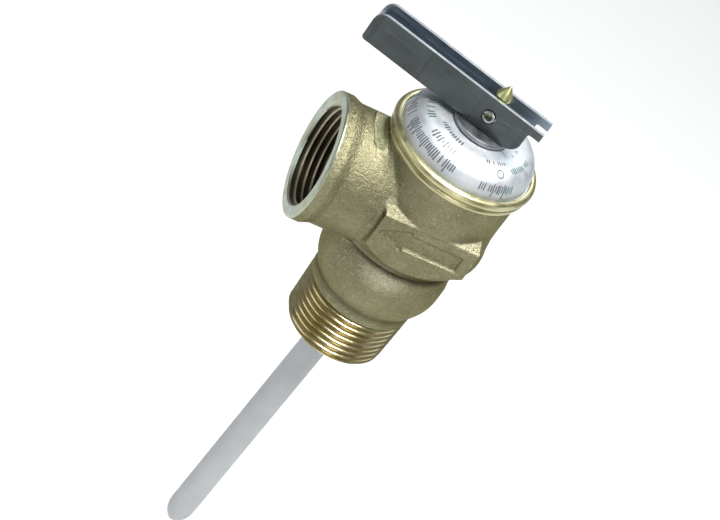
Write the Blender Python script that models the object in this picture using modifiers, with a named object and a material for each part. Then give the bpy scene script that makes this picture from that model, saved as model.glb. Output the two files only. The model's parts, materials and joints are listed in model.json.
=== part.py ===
"""Temperature and pressure relief valve for a water heater, 3/4 inch inlet and side outlet.

Frame: the origin is on the valve's axis at the inlet's lower end, +Z runs up to the test lever,
and the side outlet points along -X. Lengths below are in millimetres and angles in degrees.
"""
import math

import bmesh
import bpy

MM = 0.001
MERGE = 0.00001
GAP = 0.3
STEPS = 40

# pipe threads, 3/4 - 14 taper
PITCH = 1.814
THREAD_DEPTH = 1.2
INLET_R = 13.0
INLET_CRESTS = 8
TAPER = 1 / 32
OUTLET_CRESTS = 6

# cast body
BULB_R = 16.0
BARREL_R = 17.3
BAND_R = 18.55
BAND_LOW = 34.0
BAND_TOP = 49.0
FLAT_Y = 17.0
PAD_CORNER_X = 12.1
PAD_END_X = -13.2
PAD_UNDERSIDE_X = -1.5
ARROW_DEPTH = 0.7
ARROW_Z = 44.1
ARROW_TIP_X = -11.8
ARROW_BARB_X = -4.4
ARROW_TAIL_X = 9.2
ARROW_HALF = 3.5
ARROW_SHAFT_HALF = 2.2

# side outlet
OUTLET_Z = 44.35
OUTLET_X = 29.3
OUTLET_R = 15.9
BOSS_R = 15.0
FLANGE_LENGTH = 5.2
COLLAR_R = 18.7
COLLAR_STEP = 2.8
COLLAR_LOW = 57.6
OUTLET_BORE_R = 12.1

# chambers and seat
INLET_BORE_R = 9.5
UPPER_BORE_R = 9.0
SHOULDER_Z = 20.3
CHAMBER_R = 14.6
CHAMBER_LOW_R = 13.0
SEAT_Z = 31.5
SEAT_OUTER_R = 10.4
LEDGE_Z = 60.6

# rolled rim and domed cap
RIM_R = 18.85
RIM_LIP_R = 17.15
RIM_TOP = 64.0
CAVITY_R = 17.5
DOME_R = 16.85
DOME_BASE = 62.3
DOME_HEIGHT = 8.3
DOME_POWER = 0.43
DOME_TOP = 70.0
PLATE_THICKNESS = 0.4
BONNET_THICKNESS = 1.2
DOME_ROWS = 7

# washer under the lever
WASHER_R = 7.44
WASHER_LOW = DOME_TOP + GAP
WASHER_TOP = 71.32
STEM_HOLE_R = 2.65

# stem, test lever and pin; lever lengths are measured from the pin
STEM_R = 2.3
STEM_END_R = 1.8
STEM_APEX = 83.4
PIN_Z = 75.57
PIN_R = 1.6
PIN_BORE_R = 0.9
PIN_LENGTH = 7.6
LEVER_ANGLE = 156.2
LEVER_WIDTH = 7.0
LEVER_SHEET = 0.9
LEVER_LENGTH = 34.0
LEVER_TOP = 4.72
LEVER_LOW = -3.9
LEVER_HOLE_R = 1.9
LEVER_CORNER_R = 3.0
HEEL_R = 3.0
HEEL_X = -6.55
FINGER_X = -12.5
FINGER_LOW = 2.65
SLOT_END = 5.5

# main spring
SPRING_R = 10.2
WIRE_R = 1.25
SPRING_LOW = 38.2
SPRING_TOP = 66.3
SPRING_TURNS = 7.5
SPRING_POINTS = 12

# thermostat probe
PROBE_R = 3.5
PROBE_TIP = -80.5
PROBE_NOSE = 5.5
SHEATH_R = 2.9
SHEATH_BORE_R = 2.3
CHARGE_R = 2.0
ROD_R = 1.1
ROD_TOP = 26.1
PLUG_TOP = 3.3
PROBE_LEAN = 2.1
CARRIER_LOW = 17.0
CARRIER_TOP = 20.0
CARRIER_R = 9.2
RING_LOW = 15.6
RING_TOP = 16.6


def make_collection(name):
    collection = bpy.data.collections.new(name)
    bpy.context.scene.collection.children.link(collection)
    return collection


for old in list(bpy.data.objects):
    bpy.data.objects.remove(old, do_unlink=True)
PARTS = make_collection("pressure_relief_valve")
CUTTERS = make_collection("cutters")


def make_material(name, color, roughness, metallic):
    material = bpy.data.materials.new(name)
    material.use_nodes = True
    shader = material.node_tree.nodes["Principled BSDF"]
    shader.inputs["Base Color"].default_value = (*color, 1)
    shader.inputs["Roughness"].default_value = roughness
    shader.inputs["Metallic"].default_value = metallic
    material.diffuse_color = (*color, 1)
    return material


CAST_BRASS = make_material("cast_brass", (0.29, 0.26, 0.15), 0.42, 1.0)
TURNED_BRASS = make_material("turned_brass", (0.62, 0.50, 0.20), 0.25, 1.0)
STEEL = make_material("pressed_steel", (0.36, 0.37, 0.38), 0.35, 1.0)
LEVER_STEEL = make_material("lever_steel", (0.16, 0.17, 0.17), 0.38, 1.0)
SPRING_STEEL = make_material("spring_steel", (0.30, 0.30, 0.31), 0.30, 1.0)
ALUMINIUM = make_material("printed_aluminium", (0.70, 0.72, 0.72), 0.35, 1.0)
FIBRE = make_material("fibre_gasket", (0.10, 0.16, 0.12), 0.80, 0.0)
RUBBER = make_material("seal_rubber", (0.05, 0.05, 0.05), 0.70, 0.0)
COATING = make_material("probe_coating", (0.55, 0.57, 0.57), 0.55, 0.0)
COPPER = make_material("probe_copper", (0.60, 0.32, 0.20), 0.30, 1.0)
WAX = make_material("wax", (0.75, 0.66, 0.45), 0.60, 0.0)


def finish(obj, material, collection):
    """Put an object in its collection; a cutter stays out of the model."""
    collection.objects.link(obj)
    if material:
        obj.data.materials.append(material)
    if collection is CUTTERS:
        obj.hide_render = True
        obj.display_type = "WIRE"
    return obj


def turned(name, outline, material=None, steps=36, collection=PARTS):
    """A solid turned about Z from (radius, height) points, outer side first and top to bottom.

    An outline that starts on the axis ends on it; any other outline closes into a ring.
    """
    points = [(radius * MM, 0, height * MM) for radius, height in outline]
    edges = [(index, index + 1) for index in range(len(points) - 1)]
    if outline[0][0] > 0:
        edges.append((len(points) - 1, 0))
    mesh = bpy.data.meshes.new(name)
    mesh.from_pydata(points, edges, [])
    obj = finish(bpy.data.objects.new(name, mesh), material, collection)
    screw = obj.modifiers.new("turn", "SCREW")
    screw.steps = steps
    screw.render_steps = steps
    screw.use_merge_vertices = True
    screw.merge_threshold = MERGE
    screw.use_smooth_shade = True
    return obj


def ring(name, inner, outer, low, top, material=None, steps=36, collection=PARTS):
    outline = [(inner, top), (outer, top), (outer, low), (inner, low)]
    return turned(name, outline, material, steps, collection)


def block(name, low, high, material=None, collection=CUTTERS):
    """A box between two corners."""
    mesh = bpy.data.meshes.new(name)
    solid = bmesh.new()
    bmesh.ops.create_cube(solid, size=1)
    for vert in solid.verts:
        for axis in range(3):
            vert.co[axis] = ((low[axis] + high[axis]) / 2 + vert.co[axis] * (high[axis] - low[axis])) * MM
    solid.to_mesh(mesh)
    solid.free()
    return finish(bpy.data.objects.new(name, mesh), material, collection)


def sheet_shape(name, outline, width, material=None, collection=CUTTERS):
    """A flat outline in the XZ plane, extruded to a width centred on Y = 0."""
    curve = bpy.data.curves.new(name, "CURVE")
    curve.dimensions = "2D"
    curve.fill_mode = "BOTH"
    curve.extrude = width / 2 * MM
    spline = curve.splines.new("POLY")
    spline.points.add(len(outline) - 1)
    for point, (x, z) in zip(spline.points, outline):
        point.co = (x * MM, z * MM, 0, 1)
    spline.use_cyclic_u = True
    guide = bpy.data.objects.new(name + "_outline", curve)
    bpy.context.scene.collection.objects.link(guide)
    guide.rotation_euler = (math.radians(90), 0, 0)
    bpy.context.view_layer.update()
    evaluated = guide.evaluated_get(bpy.context.evaluated_depsgraph_get())
    mesh = bpy.data.meshes.new_from_object(evaluated)
    mesh.name = name
    mesh.transform(guide.matrix_world)
    bpy.data.objects.remove(guide, do_unlink=True)
    solid = bmesh.new()
    solid.from_mesh(mesh)
    bmesh.ops.remove_doubles(solid, verts=solid.verts, dist=MERGE)
    bmesh.ops.recalc_face_normals(solid, faces=solid.faces)
    solid.to_mesh(mesh)
    solid.free()
    return finish(bpy.data.objects.new(name, mesh), material, collection)


def combine(obj, operation, tools):
    for tool in tools:
        boolean = obj.modifiers.new(tool.name, "BOOLEAN")
        boolean.operation = operation
        boolean.object = tool
        boolean.solver = "EXACT"
    return obj


def arc(centre, radius, start, end, count):
    """Points on an arc, with angles in degrees from +X."""
    points = []
    for index in range(count + 1):
        angle = math.radians(start + (end - start) * index / count)
        points.append((centre[0] + radius * math.cos(angle), centre[1] + radius * math.sin(angle)))
    return points


def dome_outline(inset, edge_r, low_z, hole_r):
    """The cap's profile at a depth under its outer skin, from the centre hole out to the edge."""
    base_r = DOME_R - inset
    height = DOME_HEIGHT - inset
    points = [(hole_r, DOME_TOP - inset)]
    for row in range(DOME_ROWS + 1):
        turn = math.radians(62) * (1 - row / DOME_ROWS)
        z = DOME_BASE + height * math.sin(turn) ** DOME_POWER
        points.append((base_r * math.cos(turn), min(z, DOME_TOP - inset)))
    points = [point for point in points if point[1] > low_z]
    points.append((points[-1][0], low_z))
    points.append((edge_r, low_z))
    return points


def pressed_dome(name, inset, thickness, edge_r, low_z, hole_r, material):
    """A domed sheet with a flat flange round it."""
    outer = dome_outline(inset, edge_r, low_z + thickness, hole_r)
    inner = dome_outline(inset + thickness, edge_r, low_z, hole_r)
    return turned(name, outer + inner[::-1], material, STEPS)


def body_outline():
    """The body's outer side, from the rolled rim down to the inlet's end."""
    points = [(0, RIM_TOP)]
    points += [(RIM_LIP_R + 0.25, RIM_TOP)]
    points += arc((RIM_R - 1.2, RIM_TOP - 1.75), 1.2, 55, -50, 4)
    points += [(18.1, 61.3), (18.4, 61.0), (18.3, 60.4), (BARREL_R, 60.0)]
    points += [(BARREL_R, BAND_TOP + 0.6), (17.8, 44), (18.2, 42), (BAND_R, 40), (BAND_R, 39)]
    points += [(18.1, 38), (17.1, 36.3), (16.1, 35.2), (15.3, 34.2), (14.9, 33.2), (14.9, 32.2)]
    points += [(15.5, 30.2), (BULB_R, 27.8), (BULB_R, 24), (15.4, 21), (14.5, 19), (13.55, 17.2), (13.5, 15.8)]
    for crest in range(INLET_CRESTS, 0, -1):
        z = (crest - 0.5) * PITCH
        radius = INLET_R + z * TAPER
        points.append((radius - THREAD_DEPTH, z + PITCH / 2))
        points.append((radius, z))
    points.append((INLET_R - THREAD_DEPTH, 0))
    points.append((0, 0))
    return points


def cavity_outline():
    """The body's hollow, from the open rim down through the seat and the inlet."""
    return [
        (0, RIM_TOP + 1), (RIM_LIP_R, RIM_TOP + 1), (RIM_LIP_R, 63.45),
        (CAVITY_R, 63.45), (CAVITY_R, LEDGE_Z), (CHAMBER_R, LEDGE_Z),
        (CHAMBER_R, 40), (CHAMBER_LOW_R, 37), (CHAMBER_LOW_R, 30), (SEAT_OUTER_R + 0.3, 30),
        (SEAT_OUTER_R, SEAT_Z), (UPPER_BORE_R, SEAT_Z),
        (UPPER_BORE_R, 29), (12.4, 26.5), (12.4, 23.5), (UPPER_BORE_R, 21.2),
        (UPPER_BORE_R, SHOULDER_Z), (INLET_BORE_R, SHOULDER_Z),
        (INLET_BORE_R, RING_TOP + GAP), (INLET_BORE_R + 0.6, RING_TOP + GAP),
        (INLET_BORE_R + 0.6, RING_LOW - GAP), (INLET_BORE_R, RING_LOW - GAP),
        (INLET_BORE_R, -1), (0, -1)]


def outlet_bore_outline():
    """The outlet's threaded bore along its own axis, from outside the mouth inwards."""
    points = [(0, OUTLET_X + 1), (OUTLET_BORE_R + 1.1, OUTLET_X + 1), (OUTLET_BORE_R + 1.1, OUTLET_X)]
    points.append((OUTLET_BORE_R, OUTLET_X - 1.0))
    for crest in range(OUTLET_CRESTS):
        x = OUTLET_X - 1.4 - crest * PITCH
        points.append((OUTLET_BORE_R, x))
        points.append((OUTLET_BORE_R + 1.0, x - PITCH / 2))
    points += [(OUTLET_BORE_R, OUTLET_X - 1.4 - OUTLET_CRESTS * PITCH), (OUTLET_BORE_R - 0.6, 16.5)]
    points += [(OUTLET_BORE_R - 0.6, 11), (0, 11)]
    return points


def turn_to_outlet(obj):
    obj.location = (0, 0, OUTLET_Z * MM)
    obj.rotation_euler = (0, math.radians(-90), 0)
    return obj


def make_body():
    """One casting: barrel, wrench band, outlet boss, seat and threaded inlet."""
    body = turned("valve_body", body_outline(), CAST_BRASS, STEPS)
    pad = block("wrench_pad", (PAD_END_X, -25, BAND_LOW), (PAD_CORNER_X, 25, BAND_TOP))
    underside_outline = [(0, 60), (30, 60), (30, 48), (21.6, 40.7), (20.0, 39.3), (18.4, 37.4), (17.4, 36.2),
                         (16.4, 35.2), (16.4, 20), (0, 20)]
    underside = turned("pad_underside", underside_outline, None, STEPS, CUTTERS)
    underside.location = (PAD_UNDERSIDE_X * MM, 0, 0)
    combine(pad, "INTERSECT", [underside])
    flats = [block("flat_front", (-30, -40, 20), (30, -FLAT_Y, BAND_TOP)),
             block("flat_back", (-30, FLAT_Y, 20), (30, 40, BAND_TOP))]
    flange_x = OUTLET_X - FLANGE_LENGTH
    boss_outline = [(0, OUTLET_X), (OUTLET_R - 0.5, OUTLET_X), (OUTLET_R, OUTLET_X - 0.5),
                    (OUTLET_R, flange_x + 2.4), (BOSS_R, flange_x), (BOSS_R, 3), (0, 3)]
    boss = turn_to_outlet(turned("outlet_boss", boss_outline, None, STEPS, CUTTERS))
    collar = ring("collar_cut", COLLAR_R, COLLAR_R + COLLAR_STEP, COLLAR_LOW, 70, None, STEPS, CUTTERS)
    combine(boss, "DIFFERENCE", [collar])
    combine(body, "UNION", [pad, boss])
    cavity = turned("cavity", cavity_outline(), None, STEPS, CUTTERS)
    bore = turn_to_outlet(turned("outlet_bore", outlet_bore_outline(), None, STEPS, CUTTERS))
    arrow_outline = [(ARROW_TIP_X, 0), (ARROW_BARB_X, -ARROW_HALF), (ARROW_BARB_X, -ARROW_SHAFT_HALF),
                     (ARROW_TAIL_X, -ARROW_SHAFT_HALF), (ARROW_TAIL_X, ARROW_SHAFT_HALF),
                     (ARROW_BARB_X, ARROW_SHAFT_HALF), (ARROW_BARB_X, ARROW_HALF)]
    arrow = sheet_shape("flow_arrow", arrow_outline, 4)
    arrow.location = (0, (ARROW_DEPTH - FLAT_Y - 2) * MM, ARROW_Z * MM)
    return combine(body, "DIFFERENCE", flats + [arrow, cavity, bore])


def make_cap():
    """The gasket, bonnet and printed plate held by the rolled rim, and the washer on top."""
    ring("bonnet_gasket", CHAMBER_R + 0.4, 17.2, LEDGE_Z + GAP, LEDGE_Z + 0.8, FIBRE)
    pressed_dome("bonnet", PLATE_THICKNESS + GAP, BONNET_THICKNESS, 17.2, 61.7, STEM_HOLE_R, STEEL)
    pressed_dome("nameplate", 0, PLATE_THICKNESS, 17.25, 62.95, STEM_HOLE_R + 0.6, ALUMINIUM)
    washer = [(STEM_HOLE_R, WASHER_TOP), (WASHER_R - 0.35, WASHER_TOP), (WASHER_R, WASHER_TOP - 0.35),
              (WASHER_R, WASHER_LOW), (STEM_HOLE_R, WASHER_LOW)]
    turned("lever_washer", washer, STEEL, STEPS)


def lever_outline():
    """The lever's side in lengths from its pin, handle along +X, heel and finger along -X."""
    corner_x = LEVER_LENGTH - LEVER_CORNER_R
    points = [(FINGER_X, LEVER_TOP), (FINGER_X, FINGER_LOW)]
    points += arc((HEEL_X - HEEL_R - 0.5, FINGER_LOW - 0.5), 0.5, 90, 0, 3)
    points += arc((HEEL_X, LEVER_LOW + HEEL_R), HEEL_R, 180, 270, 8)
    points += arc((LEVER_LENGTH - 0.7, LEVER_LOW + 0.7), 0.7, 270, 360, 3)
    points += arc((corner_x, LEVER_TOP - LEVER_CORNER_R), LEVER_CORNER_R, 0, 90, 6)
    return points


def make_lever_group():
    """The folded lever and its pin, on an empty at the pin's centre."""
    axis = bpy.data.objects.new("lever_axis", None)
    PARTS.objects.link(axis)
    axis.location = (0, 0, PIN_Z * MM)
    axis.rotation_euler = (0, 0, math.radians(LEVER_ANGLE))
    lever = sheet_shape("test_lever", lever_outline(), LEVER_WIDTH, LEVER_STEEL, PARTS)
    web = LEVER_LOW + LEVER_SHEET
    inside = [(FINGER_X - 2, LEVER_LOW - 2), (SLOT_END, LEVER_LOW - 2), (SLOT_END, web),
              (LEVER_LENGTH - LEVER_SHEET, web), (LEVER_LENGTH - LEVER_SHEET, 1.7),
              (LEVER_LENGTH + 2, 1.7), (LEVER_LENGTH + 2, LEVER_TOP + 2), (FINGER_X - 2, LEVER_TOP + 2)]
    channel = sheet_shape("lever_channel", inside, LEVER_WIDTH - 2 * LEVER_SHEET)
    hole = turned("lever_hole", [(0, 8), (LEVER_HOLE_R, 8), (LEVER_HOLE_R, -8), (0, -8)], None, 24, CUTTERS)
    pin = ring("pivot_pin", PIN_BORE_R, PIN_R, -PIN_LENGTH / 2, PIN_LENGTH / 2, SPRING_STEEL, 24)
    pin_slot = block("pin_slot", (0, -0.3, -8), (3, 0.3, 8))
    for piece in (hole, pin, pin_slot):
        piece.rotation_euler = (math.radians(90), 0, 0)
    for piece in (lever, channel, hole, pin, pin_slot):
        piece.parent = axis
    combine(lever, "DIFFERENCE", [channel, hole])
    combine(pin, "DIFFERENCE", [pin_slot])


def make_stem():
    """The stem, from its cone tip down to its threaded end under the disc."""
    outline = [(0, STEM_APEX), (0.4, STEM_APEX - 0.2), (2.1, 80.3), (2.05, 79.9), (1.3, 78.5),
               (1.5, 78.1), (STEM_R, 77.8), (STEM_R, 39.6), (3.3, 39.4), (3.3, 38.1),
               (STEM_END_R, 38.1), (STEM_END_R, 27.6), (0, 27.6)]
    stem = turned("stem", outline, TURNED_BRASS, 24)
    hole_r = PIN_R + 0.12
    hole = turned("stem_hole", [(0, 6), (hole_r, 6), (hole_r, -6), (0, -6)], None, 24, CUTTERS)
    hole.location = (0, 0, PIN_Z * MM)
    hole.rotation_euler = (math.radians(90), 0, math.radians(LEVER_ANGLE))
    return combine(stem, "DIFFERENCE", [hole])


def make_disc_group():
    """The pieces clamped on the stem's lower end: spring plate, disc, seal, retainer and nut."""
    hole = STEM_END_R + GAP
    plate = [(hole, 37.8), (12.2, 37.8), (12.2, 36.3), (hole, 36.3)]
    turned("spring_plate", plate, STEEL)
    disc = [(hole, 36.0), (11.6, 36.0), (12.0, 35.6), (12.0, 32.4), (11.4, 32.4), (11.4, 33.6),
            (hole, 33.6)]
    turned("valve_disc", disc, TURNED_BRASS)
    ring("seat_seal", hole, 11.1, SEAT_Z + GAP, 33.3, RUBBER)
    ring("seal_retainer", hole, 6.8, 30.3, SEAT_Z, STEEL)
    nut = turned("disc_nut", [(hole, 30.0), (3.9, 30.0), (3.9, 27.9), (hole, 27.9)], TURNED_BRASS, 6)
    nut.modifiers["turn"].use_smooth_shade = False


def make_spring():
    """A closed-end compression spring, its end turns wound closer than the working turns."""
    curve = bpy.data.curves.new("main_spring", "CURVE")
    curve.dimensions = "3D"
    curve.bevel_depth = WIRE_R * MM
    curve.bevel_resolution = 2
    curve.use_fill_caps = True
    count = int(SPRING_TURNS * SPRING_POINTS)
    end_pitch = 2 * WIRE_R + 0.15
    low = SPRING_LOW + WIRE_R
    span = SPRING_TOP - WIRE_R - low
    free_pitch = (span - 2 * end_pitch) / (SPRING_TURNS - 2)
    spline = curve.splines.new("POLY")
    spline.points.add(count)
    for index, point in enumerate(spline.points):
        turns = index / SPRING_POINTS
        angle = 2 * math.pi * turns
        first = min(turns, 1) * end_pitch
        middle = min(max(turns - 1, 0), SPRING_TURNS - 2) * free_pitch
        last = max(turns - SPRING_TURNS + 1, 0) * end_pitch
        z = low + first + middle + last
        point.co = (SPRING_R * math.cos(angle) * MM, SPRING_R * math.sin(angle) * MM, z * MM, 1)
    return finish(bpy.data.objects.new("main_spring", curve), SPRING_STEEL, PARTS)


def make_probe():
    """The thermostat: a coated tube of wax whose plug pushes a rod up towards the disc.

    It hangs a little off the valve's axis, from an empty in the middle of its carrier.
    """
    middle = (CARRIER_LOW + CARRIER_TOP) / 2
    axis = bpy.data.objects.new("probe_axis", None)
    PARTS.objects.link(axis)
    axis.location = (0, 0, middle * MM)
    axis.rotation_mode = "AXIS_ANGLE"
    lean_to = math.radians(LEVER_ANGLE)
    axis.rotation_axis_angle = (math.radians(PROBE_LEAN), math.sin(lean_to), -math.cos(lean_to), 0)
    nose = [(PROBE_R, PROBE_TIP + PROBE_NOSE), (PROBE_R * 0.86, PROBE_TIP + 3.2),
            (PROBE_R * 0.52, PROBE_TIP + 1.1), (PROBE_R * 0.2, PROBE_TIP + 0.2), (0, PROBE_TIP)]
    bore_r = SHEATH_R + GAP
    floor = PROBE_TIP + 2.6
    hollow = [(0, floor), (bore_r * 0.5, floor + 0.7), (bore_r, floor + 3.2), (bore_r, CARRIER_LOW - GAP)]
    coat = hollow + [(PROBE_R, CARRIER_LOW - GAP)] + nose
    flange = CARRIER_TOP + GAP
    low = floor + GAP
    sheath = [(0, low + 1.4), (SHEATH_BORE_R, low + 3.6), (SHEATH_BORE_R, flange + 1.2),
              (4.5, flange + 1.2), (4.5, flange), (SHEATH_R, flange), (SHEATH_R, low + 3.5),
              (SHEATH_R * 0.5, low + 1.0), (0, low + 0.3)]
    wax = [(0, -4), (CHARGE_R, -4), (CHARGE_R, low + 4.2), (0, low + 4.2)]
    plug = [(0, PLUG_TOP), (CHARGE_R, PLUG_TOP), (CHARGE_R, -3.7), (0, -3.7)]
    guide_z = flange + 1.2 + GAP
    guide = [(ROD_R + GAP, guide_z + 1), (3.6, guide_z + 1), (3.6, guide_z), (CHARGE_R, guide_z),
             (CHARGE_R, PLUG_TOP + 1), (ROD_R + GAP, PLUG_TOP + 1)]
    rod = [(0, ROD_TOP), (2.4, ROD_TOP), (2.6, ROD_TOP - 0.2), (2.6, ROD_TOP - 1), (ROD_R, ROD_TOP - 1.3),
           (ROD_R, PLUG_TOP + GAP), (0, PLUG_TOP + GAP)]
    pieces = [turned("probe_coating", coat, COATING, 32), turned("probe_sheath", sheath, COPPER, 24),
              turned("wax_charge", wax, WAX, 20), turned("seal_plug", plug, RUBBER, 20),
              turned("piston_guide", guide, TURNED_BRASS, 24), turned("push_rod", rod, STEEL, 20)]
    for piece in pieces:
        piece.parent = axis
        piece.location = (0, 0, -middle * MM)


def make_carrier():
    """The spider that centres the probe in the inlet, and the snap ring that holds it."""
    carrier = ring("probe_carrier", 8.0, CARRIER_R, CARRIER_LOW, CARRIER_TOP, TURNED_BRASS)
    hub = ring("carrier_hub", SHEATH_R + GAP + 0.1, 4.8, CARRIER_LOW, CARRIER_TOP, None, 24, CUTTERS)
    arms = []
    for index in range(3):
        arm = block(f"carrier_arm_{index}", (4.2, -1, CARRIER_LOW + 0.4), (8.5, 1, CARRIER_TOP - 0.4))
        arm.rotation_euler = (0, 0, math.radians(30 + 120 * index))
        arms.append(arm)
    combine(carrier, "UNION", [hub] + arms)
    snap = ring("retaining_ring", 8.7, 9.8, RING_LOW, RING_TOP, SPRING_STEEL)
    opening = block("ring_gap", (0, -2.2, RING_LOW - 1), (12, 2.2, RING_TOP + 1))
    combine(snap, "DIFFERENCE", [opening])


make_body()
make_cap()
make_lever_group()
make_stem()
make_disc_group()
make_spring()
make_probe()
make_carrier()
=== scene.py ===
"""Looks of a brass temperature and pressure relief valve with a domed cap and a folded test lever.

Shapes are modelled in millimetres about the valve's axis and scaled to metres when they are placed.
"""

import json
import math

import bmesh
import bpy
from mathutils import Euler, Matrix, Vector


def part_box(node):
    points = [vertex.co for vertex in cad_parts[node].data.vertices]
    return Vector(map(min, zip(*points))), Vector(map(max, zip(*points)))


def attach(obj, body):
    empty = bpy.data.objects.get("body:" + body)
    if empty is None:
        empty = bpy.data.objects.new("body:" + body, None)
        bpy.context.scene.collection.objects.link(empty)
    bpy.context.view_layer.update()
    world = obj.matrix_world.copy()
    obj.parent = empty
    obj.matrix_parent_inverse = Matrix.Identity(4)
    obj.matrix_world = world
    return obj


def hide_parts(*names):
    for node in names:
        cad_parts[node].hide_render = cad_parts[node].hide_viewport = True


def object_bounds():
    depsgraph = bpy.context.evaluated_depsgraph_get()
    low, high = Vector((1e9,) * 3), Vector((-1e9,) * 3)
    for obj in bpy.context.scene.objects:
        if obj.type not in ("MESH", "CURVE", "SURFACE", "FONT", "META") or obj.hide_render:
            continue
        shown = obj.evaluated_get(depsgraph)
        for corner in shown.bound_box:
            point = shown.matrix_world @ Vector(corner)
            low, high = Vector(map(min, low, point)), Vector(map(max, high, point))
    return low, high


MM = 0.001
ROUND = 128

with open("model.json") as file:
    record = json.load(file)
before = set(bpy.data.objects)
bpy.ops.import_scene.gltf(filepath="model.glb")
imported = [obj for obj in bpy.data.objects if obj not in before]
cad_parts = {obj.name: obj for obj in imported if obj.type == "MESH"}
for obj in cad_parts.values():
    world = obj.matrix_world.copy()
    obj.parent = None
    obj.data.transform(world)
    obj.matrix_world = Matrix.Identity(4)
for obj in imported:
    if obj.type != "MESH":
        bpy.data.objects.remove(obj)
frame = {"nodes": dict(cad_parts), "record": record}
start_low, start_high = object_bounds()

RECORD = frame["record"]
MOUNTS = {mount["name"]: [value / MM for value in mount["pos_m"]] for mount in RECORD["mounts"]}
JOINTS = {joint["name"]: joint for joint in RECORD["behaviour"]["joints"]}


def box_mm(node):
    """A CAD node's lowest and highest corner in millimetres."""
    low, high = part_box(node)
    return low / MM, high / MM


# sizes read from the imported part
body_low, body_high = box_mm("valve_body")
washer_low, washer_high = box_mm("lever_washer")
plate_high = box_mm("nameplate")[1]
stem_high = box_mm("stem")[1]
RIM_R = body_high.x
RIM_TOP = body_high.z
OUTLET_X = -body_low.x
OUTLET_Z = MOUNTS["outlet_face"][2]
FLAT_Y = -MOUNTS["wrench_flat_front"][1]
PLATE_TOP = plate_high.z
PLATE_EDGE_R = plate_high.x
WASHER_R = washer_high.x
STEM_APEX = stem_high.z
PIN_Z = JOINTS["lever_turn"]["pos_m"][2] / MM
PIN_AXIS = JOINTS["lever_turn"]["axis"]
LEVER_ANGLE = math.atan2(PIN_AXIS[1], PIN_AXIS[0]) + math.radians(90)
PROBE_AXIS = Vector(JOINTS["push_rod_slide"]["axis"])

# both pipe threads
PITCH = 1.814
THREAD_ROWS = 8
THREAD_SHIFT = 0.035
CHAMFER_SLOPE = 1.1
INLET_R = 13.0
TAPER = 1 / 32
CREST_MOST_R = 13.43
THREAD_DEPTH = 1.2
THREAD_TOP = 14.9
RUN_OUT = 1.1
OUTLET_CREST_R = 12.1
OUTLET_ROOT_R = 13.05
OUTLET_THREAD_END = 15.2
OUTLET_RUN_OUT = 3

# the casting
NECK_LOW = 14.0
INLET_BORE_R = 9.5
BARREL_R = 17.3
BARREL_TOP = 60.1
FLANGE_X = OUTLET_X - 2.9
FLANGE_R = 15.9
BOSS_R = 15.0
COLLAR_R = 18.7
COLLAR_LOW = 57.6
PAD_TOP = 49
PAD_LENGTH = 25.7
PAD_MIDDLE_X = -0.75
PAD_CONE_X = -1.5
ARROW_Z = 44.1
ARROW_HALF = 2.2
ARROW_DEPTH = 0.75

# the thermostat probe
PROBE_R = 3.5
PROBE_MIDDLE = 18.5
PROBE_HEAD = 16.6
PROBE_TIP = -80.5

# finishes shared by several materials, and the pale brass of the painted highlights on the casting
TOOL_MARKS = 5200
PAINTED_HIGHLIGHT_BRASS = (0.70, 0.67, 0.49)

# studio, in metres and degrees
LIGHTS_AIM = Vector((0, 0, 0.04))
WARM = (1.0, 0.99, 0.97)
FLOOR_HALF = 2.0
FLOOR_BELOW = 0.09
CAMERA_PLACE = (-0.20618, -0.50690, 0.40570)
CAMERA_HEADING = -21.697
CAMERA_TILT = 54.848
CAMERA_ROLL = 36.563


# ---------------------------------------------------------------- mesh helpers

def arc(centre, radius, start, end, count):
    """Points on an arc, with angles in degrees from the first axis."""
    points = []
    for index in range(count + 1):
        angle = math.radians(start + (end - start) * index / count)
        points.append((centre[0] + radius * math.cos(angle), centre[1] + radius * math.sin(angle)))
    return points


def face_out(solid):
    """Point every face of a closed shape outwards."""
    bmesh.ops.recalc_face_normals(solid, faces=solid.faces)
    if solid.calc_volume(signed=True) < 0:
        bmesh.ops.reverse_faces(solid, faces=solid.faces)


def mesh_of(name, columns, wrap, closed):
    """A surface through columns of points; wrap joins the last column to the first."""
    mesh = bpy.data.meshes.new(name)
    rows = len(columns[0])
    points = [point for column in columns for point in column]
    faces = []
    last = len(columns) if wrap else len(columns) - 1
    for column in range(last):
        here = column * rows
        there = (column + 1) % len(columns) * rows
        for row in range(rows if closed else rows - 1):
            after = (row + 1) % rows
            faces.append((here + row, here + after, there + after, there + row))
    mesh.from_pydata(points, [], faces)
    solid = bmesh.new()
    solid.from_mesh(mesh)
    bmesh.ops.remove_doubles(solid, verts=solid.verts, dist=0.002)
    bmesh.ops.dissolve_degenerate(solid, edges=solid.edges, dist=0.001)
    face_out(solid)
    solid.to_mesh(mesh)
    solid.free()
    return mesh


def at_angle(outline, angle):
    """A column of points from (radius, height) pairs, turned about Z."""
    return [(radius * math.cos(angle), radius * math.sin(angle), height) for radius, height in outline]


def turned(name, outline, steps=ROUND):
    """A solid turned about Z from (radius, height) points; an outline off the axis closes into a ring."""
    columns = [at_angle(outline, 2 * math.pi * step / steps) for step in range(steps)]
    return mesh_of(name, columns, True, outline[0][0] > 0)


def prism(name, outline, width):
    """A flat outline in the XZ plane, given a width centred on Y = 0."""
    solid = bmesh.new()
    front = [solid.verts.new((x, -width / 2, z)) for x, z in outline]
    back = [solid.verts.new((x, width / 2, z)) for x, z in outline]
    solid.faces.new(front)
    solid.faces.new(back[::-1])
    for index in range(len(outline)):
        after = (index + 1) % len(outline)
        solid.faces.new((front[index], back[index], back[after], front[after]))
    face_out(solid)
    mesh = bpy.data.meshes.new(name)
    solid.to_mesh(mesh)
    solid.free()
    return mesh


def shifted(mesh, matrix):
    """The same mesh, moved by a matrix."""
    mesh.transform(matrix)
    return mesh


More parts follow.
